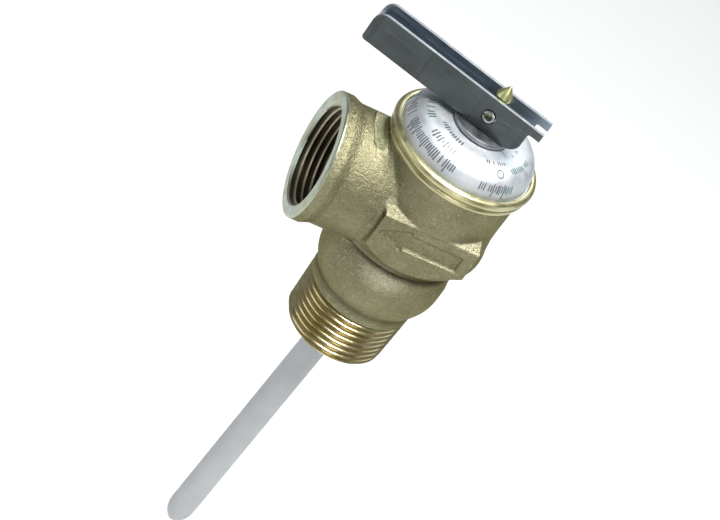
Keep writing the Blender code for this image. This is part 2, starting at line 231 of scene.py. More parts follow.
def box_mesh(name, low, high):
    """A box between two corners."""
    outline = [(low[0], low[2]), (high[0], low[2]), (high[0], high[2]), (low[0], high[2])]
    mesh = prism(name, outline, high[1] - low[1])
    return shifted(mesh, Matrix.Translation((0, (low[1] + high[1]) / 2, 0)))


def to_outlet(mesh):
    """Turn a piece modelled about Z so that its axis runs out through the outlet."""
    return shifted(mesh, Matrix.Translation((0, 0, OUTLET_Z)) @ Matrix.Rotation(math.radians(-90), 4, "Y"))


def solid_object(name, mesh, material):
    """An object in the scene with one material."""
    obj = bpy.data.objects.new(name, mesh)
    bpy.context.scene.collection.objects.link(obj)
    mesh.materials.clear()
    mesh.materials.append(material)
    return obj


def bake(obj):
    """Replace an object's mesh by the result of its modifiers."""
    evaluated = obj.evaluated_get(bpy.context.evaluated_depsgraph_get())
    mesh = bpy.data.meshes.new_from_object(evaluated)
    obj.modifiers.clear()
    obj.data = mesh
    return obj


def boolean(obj, operation, *tools):
    """Cut or fuse an object with others, which are used up; faces keep the material they came with."""
    for tool in tools:
        cut = obj.modifiers.new(tool.name, "BOOLEAN")
        cut.operation = operation
        cut.object = tool
        cut.solver = "EXACT"
        cut.material_mode = "TRANSFER"
    bake(obj)
    for tool in tools:
        bpy.data.objects.remove(tool, do_unlink=True)
    return obj


def joined(name, *objects):
    """One mesh from several overlapping solids; all but the first object are removed."""
    solid = bmesh.new()
    for obj in objects:
        solid.from_mesh(obj.data)
    mesh = bpy.data.meshes.new(name)
    solid.to_mesh(mesh)
    solid.free()
    mesh.materials.append(objects[0].data.materials[0])
    for obj in objects[1:]:
        bpy.data.objects.remove(obj, do_unlink=True)
    return mesh


def revoxel(obj, smoothing=0):
    """Fuse overlapping solids into one skin of small even faces, and round its edges."""
    remesh = obj.modifiers.new("voxels", "REMESH")
    remesh.mode = "VOXEL"
    remesh.voxel_size = 0.3
    if smoothing:
        soften = obj.modifiers.new("soften", "SMOOTH")
        soften.factor = 0.5
        soften.iterations = smoothing
    material = obj.data.materials[0]
    bake(obj)
    obj.data.materials.clear()
    obj.data.materials.append(material)


def show(obj, body, node, sharp=32):
    """Scale a piece to metres, shade it and let it ride on its CAD body."""
    obj.data.transform(Matrix.Scale(MM, 4))
    obj.data.shade_smooth()
    obj.data.set_sharp_from_angle(angle=math.radians(sharp))
    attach(obj, body)
    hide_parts(node)
    return obj


# ---------------------------------------------------------------- materials

class Look:
    """A Principled material whose colour, roughness and relief follow the place on the object."""

    def __init__(self, name, metallic):
        self.material = bpy.data.materials.new(name)
        self.material.use_nodes = True
        self.tree = self.material.node_tree
        self.shader = self.tree.nodes["Principled BSDF"]
        self.shader.inputs["Metallic"].default_value = metallic
        self.place = self.add("ShaderNodeTexCoord").outputs["Object"]

    def add(self, kind, **settings):
        node = self.tree.nodes.new(kind)
        for key, value in settings.items():
            setattr(node, key, value)
        return node

    def feed(self, socket, value):
        if isinstance(value, bpy.types.NodeSocket):
            self.tree.links.new(value, socket)
        elif isinstance(value, tuple) and len(value) == 3 and socket.type == "RGBA":
            socket.default_value = (*value, 1)
        else:
            socket.default_value = value

    def math(self, operation, *values):
        node = self.add("ShaderNodeMath", operation=operation)
        for socket, value in zip(node.inputs, values):
            self.feed(socket, value)
        return node.outputs[0]

    def off(self, value, middle):
        """How far a value is from a fixed middle."""
        return self.math("ABSOLUTE", self.math("SUBTRACT", value, middle))

    def vector(self, operation, *values):
        node = self.add("ShaderNodeVectorMath", operation=operation)
        for socket, value in zip(node.inputs, values):
            self.feed(socket, value)
        return node.outputs["Value" if operation in ("LENGTH", "DOT_PRODUCT") else "Vector"]

    def split(self, vector):
        node = self.add("ShaderNodeSeparateXYZ")
        self.feed(node.inputs[0], vector)
        return node.outputs[0], node.outputs[1], node.outputs[2]

    def both(self, first, second):
        """The product of two masks."""
        return self.math("MULTIPLY", first, second)

    def noise(self, scale, detail=2.0, roughness=0.5, place=None):
        node = self.add("ShaderNodeTexNoise")
        self.feed(node.inputs["Vector"], place or self.place)
        node.inputs["Scale"].default_value = scale
        node.inputs["Detail"].default_value = detail
        node.inputs["Roughness"].default_value = roughness
        return node.outputs[0]

    def lines(self, along, scale, detail=3.0):
        """Noise that changes along one measure only, as tool marks do."""
        node = self.add("ShaderNodeTexNoise", noise_dimensions="1D")
        self.feed(node.inputs["W"], along)
        node.inputs["Scale"].default_value = scale
        node.inputs["Detail"].default_value = detail
        return node.outputs[0]

    def span(self, value, low, high, to_low=0.0, to_high=1.0):
        """A ramp between two values, level outside them."""
        node = self.add("ShaderNodeMapRange", clamp=True)
        for socket, number in zip(node.inputs, (value, low, high, to_low, to_high)):
            self.feed(socket, number)
        return node.outputs[0]

    def window(self, value, start, full, fade, stop):
        """1 from full to fade and 0 outside start and stop, all in millimetres."""
        rise = self.span(value, start * MM, full * MM)
        return self.both(rise, self.span(value, fade * MM, stop * MM, 1, 0))

    def mix(self, factor, first, second):
        node = self.add("ShaderNodeMix", data_type="RGBA")
        self.feed(node.inputs[0], factor)
        self.feed(node.inputs[6], first)
        self.feed(node.inputs[7], second)
        return node.outputs[2]

    def bump(self, height, distance, strength=1.0, normal=None):
        node = self.add("ShaderNodeBump")
        self.feed(node.inputs["Height"], height)
        node.inputs["Distance"].default_value = distance
        node.inputs["Strength"].default_value = strength
        if normal:
            self.feed(node.inputs["Normal"], normal)
        return node.outputs[0]

    def dress(self, color, roughness, normal=None):
        self.feed(self.shader.inputs["Base Color"], color)
        self.feed(self.shader.inputs["Roughness"], roughness)
        if normal:
            self.feed(self.shader.inputs["Normal"], normal)
        return self.material

    def radius(self, outlet=False):
        """Distance from the valve's axis, or from the outlet's axis."""
        if outlet:
            moved = self.vector("SUBTRACT", self.place, (0, 0, OUTLET_Z * MM))
            return self.vector("LENGTH", self.vector("MULTIPLY", moved, (0, 1, 1)))
        return self.vector("LENGTH", self.vector("MULTIPLY", self.place, (1, 1, 0)))


def painted_shoulder_highlight(look, grain):
    """A painted highlight on the bulb's shoulder, pale in front under the band."""
    height, radius, azimuth = 30.6, 15.6, math.radians(-102)
    middle = (radius * MM * math.cos(azimuth), radius * MM * math.sin(azimuth), height * MM)
    away = look.vector("MULTIPLY", look.vector("SUBTRACT", look.place, middle), (1, 1, 1.7))
    near = look.span(look.vector("LENGTH", away), 0.0015, 0.0078, 1, 0)
    return look.both(near, look.span(grain, 0.36, 0.60, 0.25, 1))


def painted_edge_highlights(look, grain):
    """Painted highlights on the ledges over the wrench flats and on the top of the arrow's lower wall."""
    x, y, height = look.split(look.place)
    ledge = look.window(height, 48.8, 49.05, 51.2, 52)
    ledge = look.both(ledge, look.math("GREATER_THAN", x, -13.3 * MM))
    ledge = look.both(ledge, look.span(look.radius(), 0.01735, 0.0176))
    wall = look.span(look.off(height, (ARROW_Z - ARROW_HALF) * MM), 0.00022, 0.0004, 1, 0)
    wall = look.both(wall, look.window(y, -17.2, -17.0, -16.8, -16.6))
    wall = look.both(wall, look.math("LESS_THAN", look.off(x, 2.5 * MM), 6.9 * MM))
    return look.both(look.math("MAXIMUM", ledge, wall), look.span(grain, 0.36, 0.60, 0.10, 0.50))


def painted_crease_shade(look, height):
    """Painted shade in the groove under the band and in the corner at the neck."""
    groove = look.window(height, 31.3, 32.6, 34.8, 36.4)
    groove = look.both(groove, look.span(look.radius(), 0.0158, 0.0178, 1, 0))
    corner = look.both(look.window(height, 15.2, 17.0, 17.3, 18.8), 0.62)
    return look.math("MAXIMUM", groove, corner)


def cast_look():
    """Sand-cast brass: khaki with a fine bright grain, painted highlights on the bulb's shoulder and ledges,
    a pale collar ledge that is partly painted light, and painted shade in its groove and corners.
    """
    look = Look("cast_brass_look", 1.0)
    height = look.split(look.place)[2]
    grain = look.noise(2600, 3, 0.65)
    coarse = look.noise(1200, 3, 0.6)
    lumps = look.noise(280, 2)
    patches = look.span(look.noise(95, 4, 0.6), 0.34, 0.68)
    color = look.mix(patches, (0.215, 0.203, 0.118), (0.30, 0.283, 0.175))
    color = look.mix(look.span(grain, 0.32, 0.50, 0.6, 0), color, (0.115, 0.104, 0.056))
    color = look.mix(look.span(coarse, 0.56, 0.70, 0, 0.45), color, (0.46, 0.44, 0.30))
    # The collar ledge is painted pale: a paler machined tone, and painted light where the rim keeps the ledge
    # in shade.
    collar = look.window(height, 57.3, 57.7, 58.2, 58.8)
    collar = look.both(collar, look.window(look.radius(), 18.4, 18.7, 20.9, 21.4))
    color = look.mix(look.both(collar, 0.8), color, (0.66, 0.66, 0.44))
    # painted highlight on the bulb's shoulder, in pale brass
    color = look.mix(look.both(painted_shoulder_highlight(look, grain), 0.66), color, PAINTED_HIGHLIGHT_BRASS)
    # painted highlights along the pad ledges and the arrow's lower wall, in pale brass
    color = look.mix(painted_edge_highlights(look, grain), color, PAINTED_HIGHLIGHT_BRASS)
    # painted shade, near black, in the groove under the band and in the neck's corner
    color = look.mix(look.both(painted_crease_shade(look, height), 0.9), color, (0.05, 0.045, 0.026))
    rough = look.span(look.noise(700, 3), 0.3, 0.7, 0.34, 0.52)
    relief = look.math("ADD", grain, look.both(coarse, 0.8))
    normal = look.bump(lumps, 0.00022, 0.6)
    normal = look.bump(relief, 0.00025, 1.0, normal)
    look.shader.inputs["Specular Tint"].default_value = (0.40, 0.39, 0.30, 1)
    return look.dress(color, rough, normal)


def machined_look(name, color, dull, rough, outlet=False, depth=0.000008):
    """Turned metal: fine concentric tool marks with a little tarnish."""
    look = Look(name, 1.0)
    across = look.radius(outlet)
    along = look.split(look.place)[0 if outlet else 2]
    marks = look.lines(look.math("ADD", across, along), TOOL_MARKS)
    stain = look.span(look.noise(160, 4, 0.6), 0.38, 0.68)
    tone = look.mix(stain, color, dull)
    tone = look.mix(look.span(marks, 0.3, 0.7, 0, 0.35), tone, tuple(channel * 0.6 for channel in color))
    spread = look.span(look.noise(420, 3), 0.3, 0.7, rough * 0.8, rough * 1.35)
    normal = look.bump(marks, depth, 0.8)
    normal = look.bump(look.noise(1500, 3), 0.000006, 0.6, normal)
    return look.dress(tone, spread, normal)


def coat_look():
    """The probe's matt coating, pale grey and a little uneven."""
    look = Look("probe_coating_look", 0.0)
    cloud = look.span(look.noise(140, 4, 0.6), 0.35, 0.65)
    color = look.mix(cloud, (0.385, 0.405, 0.415), (0.43, 0.445, 0.455))
    speck = look.span(look.noise(1800, 2), 0.62, 0.75, 0, 0.2)
    color = look.mix(speck, color, (0.30, 0.315, 0.32))
    rough = look.span(look.noise(500, 2), 0.3, 0.7, 0.42, 0.58)
    normal = look.bump(look.noise(900, 4, 0.6), 0.00005, 0.7)
    return look.dress(color, rough, normal)


def lever_look(name, tone, dull):
    """Satin stainless sheet: fine scratches along the lever and faint press lines across it."""
    look = Look(name, 1.0)
    turn = look.add("ShaderNodeVectorRotate", rotation_type="Z_AXIS")
    look.feed(turn.inputs["Vector"], look.place)
    turn.inputs["Angle"].default_value = -LEVER_ANGLE
    local = turn.outputs[0]
    along = look.split(local)[0]
    scratch = look.noise(900, 4, 0.6, look.vector("MULTIPLY", local, (0.06, 1, 1.4)))
    press = look.lines(along, 420, 2)
    cloud = look.span(look.noise(70, 4, 0.6), 0.35, 0.68)
    color = look.mix(cloud, tone, tuple(channel * 1.5 for channel in tone))
    color = look.mix(look.span(scratch, 0.56, 0.75, 0, 0.4), color, tuple(channel * 2.4 for channel in tone))
    color = look.mix(look.span(press, 0.60, 0.72, 0, 0.35), color, tuple(channel * 0.7 for channel in tone))
    rough = look.span(scratch, 0.3, 0.7, dull * 0.75, dull * 1.3)
    normal = look.bump(scratch, 0.000012, 0.6)
    normal = look.bump(look.noise(120, 2), 0.00012, 0.4, normal)
    return look.dress(color, rough, normal)


def bore_look():
    """The outlet's thread: bright on its crests and painted dark brown down in its roots, as painted shade.
    """
    look = Look("outlet_thread_look", 1.0)
    across = look.radius(True)
    crest = look.span(across, (OUTLET_CREST_R + 0.05) * MM, (OUTLET_CREST_R + 0.5) * MM, 1, 0)
    stain = look.span(look.noise(200, 4, 0.6), 0.35, 0.68)
    # painted shade: near-black brown in the thread's roots
    root_shade = look.mix(stain, (0.05, 0.038, 0.026), (0.10, 0.078, 0.048))
    color = look.mix(crest, root_shade, (0.50, 0.46, 0.33))
    spread = look.span(look.noise(600, 3), 0.3, 0.7, 0.28, 0.45)
    normal = look.bump(look.lines(look.split(look.place)[0], TOOL_MARKS), 0.000008, 0.8)
    return look.dress(color, spread, normal)


def plain_look(name, metallic, first, second, rough, depth=0.00001):
    """A simple finish with clouded colour, for the pieces inside."""
    look = Look(name, metallic)
    color = look.mix(look.span(look.noise(180, 4, 0.6), 0.35, 0.65), first, second)
    spread = look.span(look.noise(400, 3), 0.3, 0.7, rough * 0.8, min(1.0, rough * 1.25))
    return look.dress(color, spread, look.bump(look.noise(900, 3), depth, 0.6))


def plate_look():
    """The cap's satin aluminium plate with rows of generic printed marks round it."""
    look = Look("printed_plate_look", 1.0)
    x, y, z = look.split(look.place)
    across = look.radius()
    azimuth = look.math("ARCTAN2", y, x)
    cloud = look.span(look.noise(150, 4, 0.6), 0.35, 0.65)
    color = look.mix(cloud, (0.53, 0.565, 0.60), (0.62, 0.64, 0.66))
    color = look.mix(look.span(look.noise(1400, 2), 0.60, 0.74, 0, 0.3), color, (0.45, 0.47, 0.47))

    def row(radius, start, end, height, pitch, seed):
        """Radial bars of random height and spacing on an arc; angles run on past 180 degrees."""
        turned_by = look.math("SUBTRACT", azimuth, math.radians(start))
        turned_by = look.math("FLOORED_MODULO", turned_by, 2 * math.pi)
        place = look.math("DIVIDE", turned_by, pitch / radius)
        cell = look.math("FLOOR", place)
        within = look.math("FRACT", place)
        chance = look.add("ShaderNodeTexWhiteNoise", noise_dimensions="1D")
        look.feed(chance.inputs["W"], look.math("ADD", cell, seed))
        dice = look.split(chance.outputs["Color"])
        offset = look.off(look.math("DIVIDE", across, MM), radius)
        tall = look.math("MULTIPLY_ADD", dice[0], height * 0.28, height * 0.24)
        inside = look.math("LESS_THAN", offset, tall)
        wide = look.math("MULTIPLY_ADD", dice[1], 0.25, 0.45)
        bar = look.math("LESS_THAN", within, wide)
        gap = look.math("GREATER_THAN", dice[2], 0.14)
        reach = look.math("LESS_THAN", turned_by, math.radians(end - start))
        return look.both(look.both(inside, bar), look.both(gap, reach))

    def ink(color, masks, tone):
        """The plate's colour with marks printed over it in one tone."""
        total = masks[0]
        for mask in masks[1:]:
            total = look.math("MAXIMUM", total, mask)
        return look.mix(look.both(total, 0.78), color, tone)

    grey = [row(16.1, 168, 251, 1.25, 0.62, 3), row(13.9, 202, 245, 1.9, 0.85, 11),
            row(10.4, 203, 245, 1.5, 0.75, 23), row(11.2, 277, 305, 1.3, 0.6, 31),
            row(9.8, 326, 344, 1.2, 0.55, 41), row(16.2, 275, 300, 1.2, 0.6, 59)]
    green = [row(16.1, 150, 168, 1.25, 0.62, 67), row(12.9, 168, 202, 1.9, 0.85, 71),
             row(13.2, 308, 342, 1.5, 0.7, 83), row(16.2, 300, 308, 1.2, 0.6, 97)]
    ring_place = 13.8 * MM * Vector((math.cos(math.radians(-67)), math.sin(math.radians(-67)), 0))
    level = look.vector("MULTIPLY", look.place, (1, 1, 0))
    from_ring = look.vector("LENGTH", look.vector("SUBTRACT", level, tuple(ring_place)))
    grey.append(look.math("LESS_THAN", look.off(from_ring, 0.00085), 0.00016))
    color = ink(color, grey, (0.05, 0.055, 0.06))
    color = ink(color, green, (0.03, 0.16, 0.10))
    rough = look.span(look.noise(500, 3), 0.3, 0.7, 0.50, 0.62)
    normal = look.bump(look.noise(700, 3), 0.000012, 0.6)
    return look.dress(color, rough, normal)


CAST = cast_look()
MACHINED = machined_look("machined_outlet_look", (0.44, 0.50, 0.42), (0.36, 0.36, 0.22), 0.36, outlet=True)
FACED = machined_look("machined_collar_look", (0.52, 0.52, 0.30), (0.42, 0.42, 0.26), 0.34)
RIM = machined_look("rolled_rim_look", (0.56, 0.53, 0.31), (0.44, 0.40, 0.21), 0.31, depth=0.000003)
THREAD = machined_look("inlet_thread_look", (0.64, 0.56, 0.34), (0.46, 0.37, 0.16), 0.20, depth=0.000003)
BORE = bore_look()
STEM = machined_look("stem_look", (0.56, 0.56, 0.29), (0.46, 0.45, 0.22), 0.34)
WASHER = machined_look("washer_look", (0.31, 0.32, 0.34), (0.23, 0.24, 0.26), 0.34, depth=0.00001)
PIN = machined_look("pin_look", (0.42, 0.43, 0.44), (0.30, 0.31, 0.32), 0.26)
# pale steel on the lever's cut edges: a painted highlight where they face up to the lights
EDGE_HIGHLIGHT_STEEL = machined_look("cut_edge_painted_highlight_look", (0.36, 0.38, 0.40), (0.27, 0.29, 0.31), 0.42)
COAT = coat_look()
# The lever steel's tone is painted dark: painted shade standing in for the dark surroundings its outer faces
# reflect.
LEVER = lever_look("lever_steel_look", (0.070, 0.078, 0.080), 0.34)
# pale bluish steel inside the lever's channel: painted light, so the inner walls do not go black
INSIDE_LIT_STEEL = lever_look("lever_inside_painted_light_look", (0.20, 0.24, 0.285), 0.52)
PLATE = plate_look()
INNER = {
    "turned_brass": plain_look("inner_brass_look", 1, (0.60, 0.48, 0.20), (0.50, 0.38, 0.15), 0.28),
    "pressed_steel": plain_look("inner_steel_look", 1, (0.40, 0.41, 0.42), (0.32, 0.33, 0.34), 0.34),
    "spring_steel": plain_look("spring_steel_look", 1, (0.34, 0.34, 0.35), (0.26, 0.26, 0.27), 0.30),
    "fibre_gasket": plain_look("fibre_look", 0, (0.10, 0.16, 0.12), (0.07, 0.11, 0.09), 0.8, 0.00004),
    "seal_rubber": plain_look("rubber_look", 0, (0.045, 0.045, 0.045), (0.06, 0.06, 0.06), 0.7),
    "probe_copper": plain_look("copper_look", 1, (0.62, 0.33, 0.20), (0.50, 0.25, 0.14), 0.30),
    "wax": plain_look("wax_look", 0, (0.76, 0.67, 0.45), (0.68, 0.58, 0.38), 0.6, 0.00003),
}


# ---------------------------------------------------------------- the casting

def casting_outline():
    """The barrel, the wrench band, the groove under it, the bulb and the neck, from the top down."""
    points = [(0, BARREL_TOP), (BARREL_R, BARREL_TOP), (BARREL_R, 49.6)]
    points += [(17.4, 47), (17.66, 45), (17.96, 43), (18.2, 42), (18.46, 41), (18.53, 40), (18.53, 39)]
    points += [(18.3, 38.3), (17.9, 37.6), (17.1, 36.3), (16.1, 35.2)]
    points += [(15.3, 34.5), (14.6, 34.0), (14.3, 33.4), (14.4, 32.9), (14.8, 32.3), (15.15, 31.6)]
    points += [(15.42, 30.6), (15.7, 29.3), (15.95, 27.9), (16.0, 26), (16.0, 24), (15.8, 22.3), (15.4, 21)]
    points += [(15.0, 20), (14.5, 19), (14.0, 18.1), (13.7, 17.55), (13.52, 17.1), (13.47, 16.6)]
    return points + [(13.47, NECK_LOW), (0, NECK_LOW)]


def make_pad():
    """The two wrench pads as one block with a roof, slanted left ends and a conical underside."""
    roof = [(-25, 34), (25, 34), (25, 46.4), (FLAT_Y, PAD_TOP), (0, 54.5), (-FLAT_Y, PAD_TOP), (-25, 46.4)]
    along = Matrix.Translation((PAD_MIDDLE_X, 0, 0)) @ Matrix.Rotation(math.radians(90), 4, "Z")
    pad = solid_object("pad", shifted(prism("pad", roof, PAD_LENGTH), along), CAST)
    upright = Matrix.Translation((0, 0, 44)) @ Matrix.Rotation(math.radians(-90), 4, "X")
    for side in (-1, 1):
        plan = [(-12.6, side * 17), (-12.6, side * 30), (-30, side * 30), (-30, side * 10),
                (-13.4, side * 10)]
        boolean(pad, "DIFFERENCE", solid_object("slant", shifted(prism("slant", plan, 40), upright), CAST))
    cone = [(0, 60), (30, 60), (30, 48), (21.6, 40.7), (20.0, 39.3), (18.4, 37.4), (17.4, 36.2), (16.4, 35.2),
            (16.4, 20), (0, 20)]
    cone = shifted(turned("cone", cone), Matrix.Translation((PAD_CONE_X, 0, 0)))
    return boolean(pad, "INTERSECT", solid_object("cone", cone, CAST))


def make_boss():
    """The outlet's boss with its flange, cut back round the barrel's collar."""
    outline = [(0, OUTLET_X - 2), (FLANGE_R, OUTLET_X - 2), (FLANGE_R, FLANGE_X), (BOSS_R, FLANGE_X - 2.3),
               (BOSS_R, 3), (0, 3)]
    boss = solid_object("boss", to_outlet(turned("boss", outline)), CAST)
    collar = [(COLLAR_R, 70), (COLLAR_R + 2.8, 70), (COLLAR_R + 2.8, COLLAR_LOW), (COLLAR_R, COLLAR_LOW)]
    return boolean(boss, "DIFFERENCE", solid_object("collar", turned("collar", collar), CAST))


def make_hollow():
    """The room inside the casting: spring chamber, valve seat, water way and outlet bore."""
    cavity = [(0, 66), (17.0, 66), (17.0, 59), (14.6, 59), (14.6, 40), (13, 37), (13, 30), (10.7, 30),
              (10.4, 31.5), (9.0, 31.5), (9.0, 29), (12.4, 26.5), (12.4, 23.5), (9.0, 21.2), (9.0, 20.3),
              (INLET_BORE_R, 20.3), (INLET_BORE_R, 16.9), (10.1, 16.9), (10.1, 15.3), (INLET_BORE_R, 15.3),
              (INLET_BORE_R, 10), (0, 10)]
    hollow = solid_object("hollow", turned("hollow", cavity), FACED)
    wide = OUTLET_ROOT_R + 0.05
    bore = [(0, OUTLET_X + 2), (wide, OUTLET_X + 2), (wide, 15.5), (11.5, 15.0), (11.5, 11), (0, 11)]
    return boolean(hollow, "UNION", solid_object("bore", to_outlet(turned("bore", bore)), BORE))


def make_casting():
    """The rough casting with rounded edges, then its machined bores and faces cut crisply."""
    body = solid_object("cast_body", turned("cast_body", casting_outline()), CAST)
    body.data = joined("cast_body", body, make_pad(), make_boss())
    revoxel(body)
    cutters = []
    half = 11.5
    for side in (-1, 1):
        middle = side * (FLAT_Y + half)
        flat = box_mesh("flat", (-30, middle - half, 20), (30, middle + half, PAD_TOP))
        cutters.append(solid_object("flat", flat, CAST))
    arrow = [(-11.8, 0), (-4.4, -3.5), (-4.4, -ARROW_HALF), (9.2, -ARROW_HALF), (9.2, ARROW_HALF),
             (-4.4, ARROW_HALF), (-4.4, 3.5)]
    arrow = shifted(prism("arrow", arrow, 4), Matrix.Translation((0, ARROW_DEPTH - FLAT_Y - 2, ARROW_Z)))
    boolean(body, "DIFFERENCE", *cutters, solid_object("arrow", arrow, CAST))
    revoxel(body, 4)
    facing = box_mesh("facing", (-40, -30, 0), (-FLANGE_X - 0.05, 30, 66))
    boolean(body, "DIFFERENCE", make_hollow(), solid_object("facing", facing, MACHINED))
    show(body, "casing", "valve_body")


def make_rim():
    """The rim rolled over the cap: a bead, a groove and a lip under it."""
    outline = [(17.15, 63.75), (17.3, 63.95), (17.6, RIM_TOP)]
    outline += arc((RIM_R - 1.15, RIM_TOP - 1.2), 1.15, 84, -58, 14)
    outline += [(18.15, 61.5), (18.12, 61.32), (18.3, 61.18), (18.4, 61.0), (18.4, 60.6), (18.28, 60.35),
                (17.6, 60.05), (BARREL_R - 0.2, 59.95), (17.05, 59.9), (17.05, 61.2), (17.15, 61.4)]
    rim = solid_object("rolled_rim", turned("rolled_rim", outline, 192), RIM)
    show(rim, "casing", "valve_body", 40)


def thread_radius(phase, crest_r, root_r):
    """Radius of a 60 degree thread with small flats on its crests and in its roots."""
    away = 2 * min(phase, 1 - phase)
    return crest_r + (root_r - crest_r) * min(max((away - 0.07) / 0.86, 0), 1)


def make_inlet_thread():
    """The male thread, one right-handed helix that is chamfered below and runs out at the neck."""
    columns = []
    for step in range(ROUND + 1):
        turn = step / ROUND
        profile = []
        for row in range(-10, 11 * THREAD_ROWS):
            height = min(max((row / THREAD_ROWS + turn - THREAD_SHIFT) * PITCH, 0), THREAD_TOP)
            phase = (height / PITCH - turn + 0.5) % 1
            crest = min(INLET_R + height * TAPER, CREST_MOST_R)
            depth = THREAD_DEPTH * min(1, (THREAD_TOP - height) / RUN_OUT)
            radius = thread_radius(phase, crest, crest - depth)
            profile.append((min(radius, INLET_R - 1.15 + height * CHAMFER_SLOPE), height))
        profile += [(INLET_BORE_R, NECK_LOW + 1), (INLET_BORE_R, 0.25), (INLET_BORE_R + 0.25, 0)]
        columns.append(at_angle(profile, 2 * math.pi * turn))
    mesh = mesh_of("inlet_thread", columns, False, True)
    show(solid_object("inlet_thread", mesh, THREAD), "casing", "valve_body", 28)


def make_outlet():
    """The outlet's machined flange with its female thread inside."""
    columns = []
    depth = OUTLET_ROOT_R - OUTLET_CREST_R
    sleeve = OUTLET_ROOT_R + 0.15
    for step in range(ROUND + 1):
        turn = step / ROUND
        profile = []
        for row in range(-10, 10 * THREAD_ROWS):
            deep = min(max((row / THREAD_ROWS - turn - THREAD_SHIFT) * PITCH, 0), OUTLET_THREAD_END)
            phase = (deep / PITCH + turn + 0.5) % 1
            fade = min(1, (OUTLET_THREAD_END - deep) / OUTLET_RUN_OUT)
            radius = thread_radius(phase, OUTLET_CREST_R, OUTLET_CREST_R + depth * fade)
            profile.append((max(radius, sleeve - deep * CHAMFER_SLOPE), OUTLET_X - deep))
        profile += [(sleeve, OUTLET_X - OUTLET_THREAD_END), (sleeve, FLANGE_X), (FLANGE_R - 0.1, FLANGE_X),
                    (FLANGE_R, FLANGE_X + 0.12), (FLANGE_R, OUTLET_X - 0.55),
                    (FLANGE_R - 0.12, OUTLET_X - 0.25), (FLANGE_R - 0.45, OUTLET_X - 0.02),
                    (FLANGE_R - 0.6, OUTLET_X)]
        columns.append(at_angle(profile, 2 * math.pi * turn))
    mesh = to_outlet(mesh_of("outlet_flange", columns, False, True))
    flange = solid_object("outlet_flange", mesh, MACHINED)
    mesh.materials.append(BORE)
    mesh.materials.append(CAST)
    for face in mesh.polygons:
        middle = face.center
        away = math.hypot(middle.y, middle.z - OUTLET_Z)
        if away < OUTLET_ROOT_R and -middle.x < OUTLET_X - 0.6:
            face.material_index = 1
        elif away > FLANGE_R - 0.15 and -middle.x < OUTLET_X - 0.5:
            face.material_index = 2
    show(flange, "casing", "valve_body", 28)


# ---------------------------------------------------------------- cap, lever and stem

def make_cap():
    """The printed dome and the turned washer on top of it."""
    edge = PLATE_EDGE_R
    skin = [(3.25, PLATE_TOP), (10.0, PLATE_TOP), (12.3, 69.72), (13.7, 69.3), (14.8, 68.6), (15.6, 67.8),
            (16.2, 66.8), (16.6, 65.6), (16.75, 64.4), (16.8, 63.5), (16.85, 63.36), (edge, 63.35)]
    under = [(edge, 62.95), (16.4, 62.95), (16.35, 64.4), (16.2, 65.6), (15.8, 66.6), (15.2, 67.5),
             (14.4, 68.2), (13.5, 68.85), (12.2, 69.3), (10.0, 69.6), (3.25, 69.6)]
    plate = solid_object("dome_plate", turned("dome_plate", skin + under, 160), PLATE)
    show(plate, "casing", "nameplate", 50)
    low, top, hole = washer_low.z, washer_high.z, 2.65
    outline = [(hole, top - 0.1), (hole + 0.1, top), (WASHER_R - 0.42, top), (WASHER_R - 0.3, top - 0.03),
               (WASHER_R - 0.04, top - 0.3), (WASHER_R, top - 0.42), (WASHER_R, low + 0.1),
               (WASHER_R - 0.1, low), (hole, low)]
    washer = solid_object("turned_washer", turned("turned_washer", outline), WASHER)
    show(washer, "swivel", "lever_washer")


def lever_place(mesh):
    """Move a piece modelled along X about the pin to where the lever lies."""
    place = Matrix.Translation((0, 0, PIN_Z)) @ Matrix.Rotation(LEVER_ANGLE, 4, "Z")
    return shifted(mesh, place)


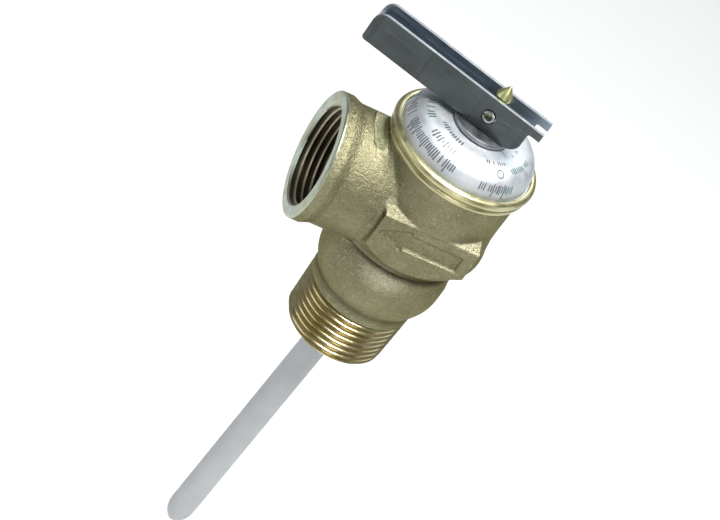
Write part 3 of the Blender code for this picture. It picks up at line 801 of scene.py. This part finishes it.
def make_lever():
    """The folded sheet lever, open on top, with rounded folds and thin bevelled cut edges."""
    length, width, sheet = 34.0, 7.0, 0.9
    top, low, wall = 4.72, -3.9, 1.7
    heel, slot_end, hole_r = -12.5, 5.5, 1.9
    outline = [(heel, top), (heel, 2.65)]
    outline += arc((-10.05, 2.15), 0.5, 90, 0, 4)
    outline += arc((-6.55, low + 3.0), 3.0, 180, 270, 12)
    outline += [(slot_end, low)]
    outline += arc((length - 0.9, low + 0.9), 0.9, 270, 360, 5)
    outline += [(length, wall)]
    outline += arc((length - 3.0, top - 3.0), 3.0, 4, 90, 8)
    mesh = prism("folded_lever", outline, width)
    solid = bmesh.new()
    solid.from_mesh(mesh)
    folds = []
    for edge in solid.edges:
        start, end = edge.verts[0].co, edge.verts[1].co
        on_side = abs(start.y - end.y) < 0.01
        along_web = min(start.x, end.x) > slot_end - 0.01 and max(start.z, end.z) < wall + 0.01
        if on_side and along_web:
            folds.append(edge)
    bmesh.ops.bevel(solid, geom=folds, offset=1.0, offset_type="OFFSET", segments=5, profile=0.5,
                    affect="EDGES", clamp_overlap=True)
    solid.to_mesh(mesh)
    solid.free()
    lever = solid_object("folded_lever", mesh, LEVER)
    inside_outline = [(-15, low - 2), (slot_end, low - 2), (slot_end, low + sheet)]
    inside_outline += [(length - sheet, low + sheet), (length - sheet, wall), (length + 2, wall),
                       (length + 2, top + 2), (-15, top + 2)]
    inside = solid_object("inside", prism("inside", inside_outline, width - 2 * sheet), LEVER)
    hole = turned("hole", [(0, 8), (hole_r, 8), (hole_r, -8), (0, -8)], 64)
    hole = solid_object("hole", shifted(hole, Matrix.Rotation(math.radians(90), 4, "X")), LEVER)
    boolean(lever, "DIFFERENCE", inside, hole)
    # cut edges take the painted-highlight steel and the inner walls the painted-light steel; the outer faces
    # keep the dark steel with its painted shade
    lever.data.materials.append(EDGE_HIGHLIGHT_STEEL)
    lever.data.materials.append(INSIDE_LIT_STEEL)
    for face in lever.data.polygons:
        cut_side = face.center.z > wall - 0.1 or face.center.x < slot_end + 0.1
        if abs(face.normal.y) < 0.5 and cut_side:
            face.material_index = 1
        elif abs(face.center.y) < width / 2 - sheet + 0.05 and face.center.z > low + sheet - 0.1:
            face.material_index = 2
    bevel = lever.modifiers.new("cut_edges", "BEVEL")
    bevel.width = 0.09
    bevel.segments = 2
    bevel.limit_method = "ANGLE"
    bevel.angle_limit = math.radians(40)
    bake(lever)
    lever_place(lever.data)
    show(lever, "lever", "test_lever", 30)


def make_pin():
    """The rolled spring pin, hollow, with a slot along it."""
    steps = 72
    outline = [(0.9, 3.6), (1.0, 3.78), (1.18, 3.8), (1.5, 3.62), (1.6, 3.3), (1.6, -3.3), (1.5, -3.62),
               (1.18, -3.8), (1.0, -3.78), (0.9, -3.6)]
    columns = [at_angle(outline, math.radians(12 + 336 * step / steps)) for step in range(steps + 1)]
    mesh = mesh_of("rolled_pin", columns, False, True)
    solid = bmesh.new()
    solid.from_mesh(mesh)
    bmesh.ops.holes_fill(solid, edges=[edge for edge in solid.edges if edge.is_boundary])
    face_out(solid)
    solid.to_mesh(mesh)
    solid.free()
    lever_place(shifted(mesh, Matrix.Rotation(math.radians(90), 4, "X")))
    show(solid_object("rolled_pin", mesh, PIN), "stem_group", "pivot_pin", 40)


def make_stem():
    """The turned stem with its pointed tip, a groove under the tip and a flange over the valve disc."""
    outline = [(0, STEM_APEX), (0.14, STEM_APEX - 0.03), (0.3, STEM_APEX - 0.16), (1.95, 80.6), (2.08, 80.42),
               (2.1, 80.3), (2.08, 79.95), (2.0, 79.75), (1.34, 78.7), (1.3, 78.5), (1.34, 78.3),
               (1.5, 78.12), (2.15, 77.86), (2.26, 77.78), (2.3, 77.6), (2.3, 39.6), (3.3, 39.4), (3.3, 38.1),
               (1.8, 38.1), (1.8, 27.8), (1.6, 27.6), (0, 27.6)]
    stem = solid_object("turned_stem", turned("turned_stem", outline, 72), STEM)
    show(stem, "stem_group", "stem", 35)


def make_probe():
    """The coated thermostat probe, hanging a little off the valve's axis."""
    outline = [(0, PROBE_HEAD), (PROBE_R - 0.15, PROBE_HEAD), (PROBE_R, PROBE_HEAD - 0.15)]
    outline += [(radius, PROBE_TIP + up) for radius, up in
                ((PROBE_R, 6.2), (3.46, 5.4), (3.3, 4.4), (3.0, 3.3), (2.5, 2.2), (1.85, 1.2), (1.15, 0.5),
                 (0.55, 0.13), (0, 0))]
    mesh = shifted(turned("coated_probe", outline, 96), Matrix.Translation((0, 0, -PROBE_MIDDLE)))
    lean = Vector((0, 0, 1)).rotation_difference(PROBE_AXIS).to_matrix().to_4x4()
    shifted(mesh, Matrix.Translation((0, 0, PROBE_MIDDLE)) @ lean)
    show(solid_object("coated_probe", mesh, COAT), "casing", "probe_coating", 40)


def dress_inner_pieces():
    """The CAD pieces that stay in view keep their shape and get the finish of their slot."""
    for part in RECORD["subparts"]:
        node = frame["nodes"][part["node"]]
        if part["material_slot"] in INNER:
            node.data.materials.clear()
            node.data.materials.append(INNER[part["material_slot"]])
            node.data.shade_smooth()
            node.data.set_sharp_from_angle(angle=math.radians(32))


make_casting()
make_rim()
make_inlet_thread()
make_outlet()
make_cap()
make_lever()
make_pin()
make_stem()
make_probe()
dress_inner_pieces()


# ---------------------------------------------------------------- studio

def area_light(name, place, size, watts, color):
    """A soft rectangular light that faces the middle of the valve."""
    data = bpy.data.lights.new(name, "AREA")
    data.shape = "RECTANGLE"
    data.size, data.size_y = size
    data.energy = watts
    data.color = color
    lamp = bpy.data.objects.new(name, data)
    bpy.context.scene.collection.objects.link(lamp)
    lamp.location = place
    lamp.rotation_euler = (LIGHTS_AIM - Vector(place)).to_track_quat("-Z", "Y").to_euler()


def make_studio():
    """A plain pale floor under soft lights."""
    look = Look("pale_floor_look", 0.0)
    tone = look.mix(look.noise(3, 3), (0.60, 0.605, 0.61), (0.63, 0.63, 0.63))
    look.shader.inputs["Emission Color"].default_value = (1, 1, 1, 1)
    look.shader.inputs["Emission Strength"].default_value = 0.22
    floor_material = look.dress(tone, look.span(look.noise(40, 3), 0.3, 0.7, 0.75, 0.9))
    mesh = bpy.data.meshes.new("floor")
    corners = [(x * FLOOR_HALF, y * FLOOR_HALF, 0) for x, y in ((-1, -1), (1, -1), (1, 1), (-1, 1))]
    mesh.from_pydata(corners, [], [(0, 1, 2, 3)])
    floor = solid_object("floor", mesh, floor_material)
    floor.location.z = start_low[2] - FLOOR_BELOW
    world = bpy.data.worlds.new("studio")
    world.use_nodes = True
    bpy.context.scene.world = world
    background = world.node_tree.nodes["Background"]
    background.inputs["Color"].default_value = (0.90, 0.95, 1.0, 1)
    background.inputs["Strength"].default_value = 0.30
    area_light("key", (0.04, -0.08, 0.72), (0.46, 0.34), 8.2, WARM)
    area_light("back", (0.24, 0.58, 0.50), (0.40, 0.30), 1.2, (0.93, 0.97, 1.0))
    area_light("side", (-0.70, -0.10, 0.30), (0.60, 0.50), 1.2, (0.95, 0.98, 1.0))
    area_light("front_top", (0.07, -0.29, 0.66), (0.26, 0.20), 2.6, WARM)
    area_light("front", (0.05, -0.68, 0.12), (0.30, 0.24), 0.9, WARM)
    area_light("right", (0.65, -0.15, 0.08), (0.40, 0.40), 0.5, (0.97, 0.99, 1.0))


def make_camera():
    """The camera that was fitted to the photograph."""
    data = bpy.data.cameras.new("photo_camera")
    data.sensor_width = 36
    data.lens = 141.0
    data.clip_start = 0.01
    data.clip_end = 20
    camera = bpy.data.objects.new("photo_camera", data)
    bpy.context.scene.collection.objects.link(camera)
    heading = Euler((0, 0, math.radians(CAMERA_HEADING))).to_matrix()
    tilt = Euler((math.radians(CAMERA_TILT), 0, 0)).to_matrix()
    roll = Euler((0, 0, math.radians(CAMERA_ROLL))).to_matrix()
    camera.matrix_world = Matrix.Translation(CAMERA_PLACE) @ (heading @ tilt @ roll).to_4x4()
    bpy.context.scene.camera = camera


make_studio()
make_camera()
bpy.context.scene.view_settings.view_transform = "Standard"
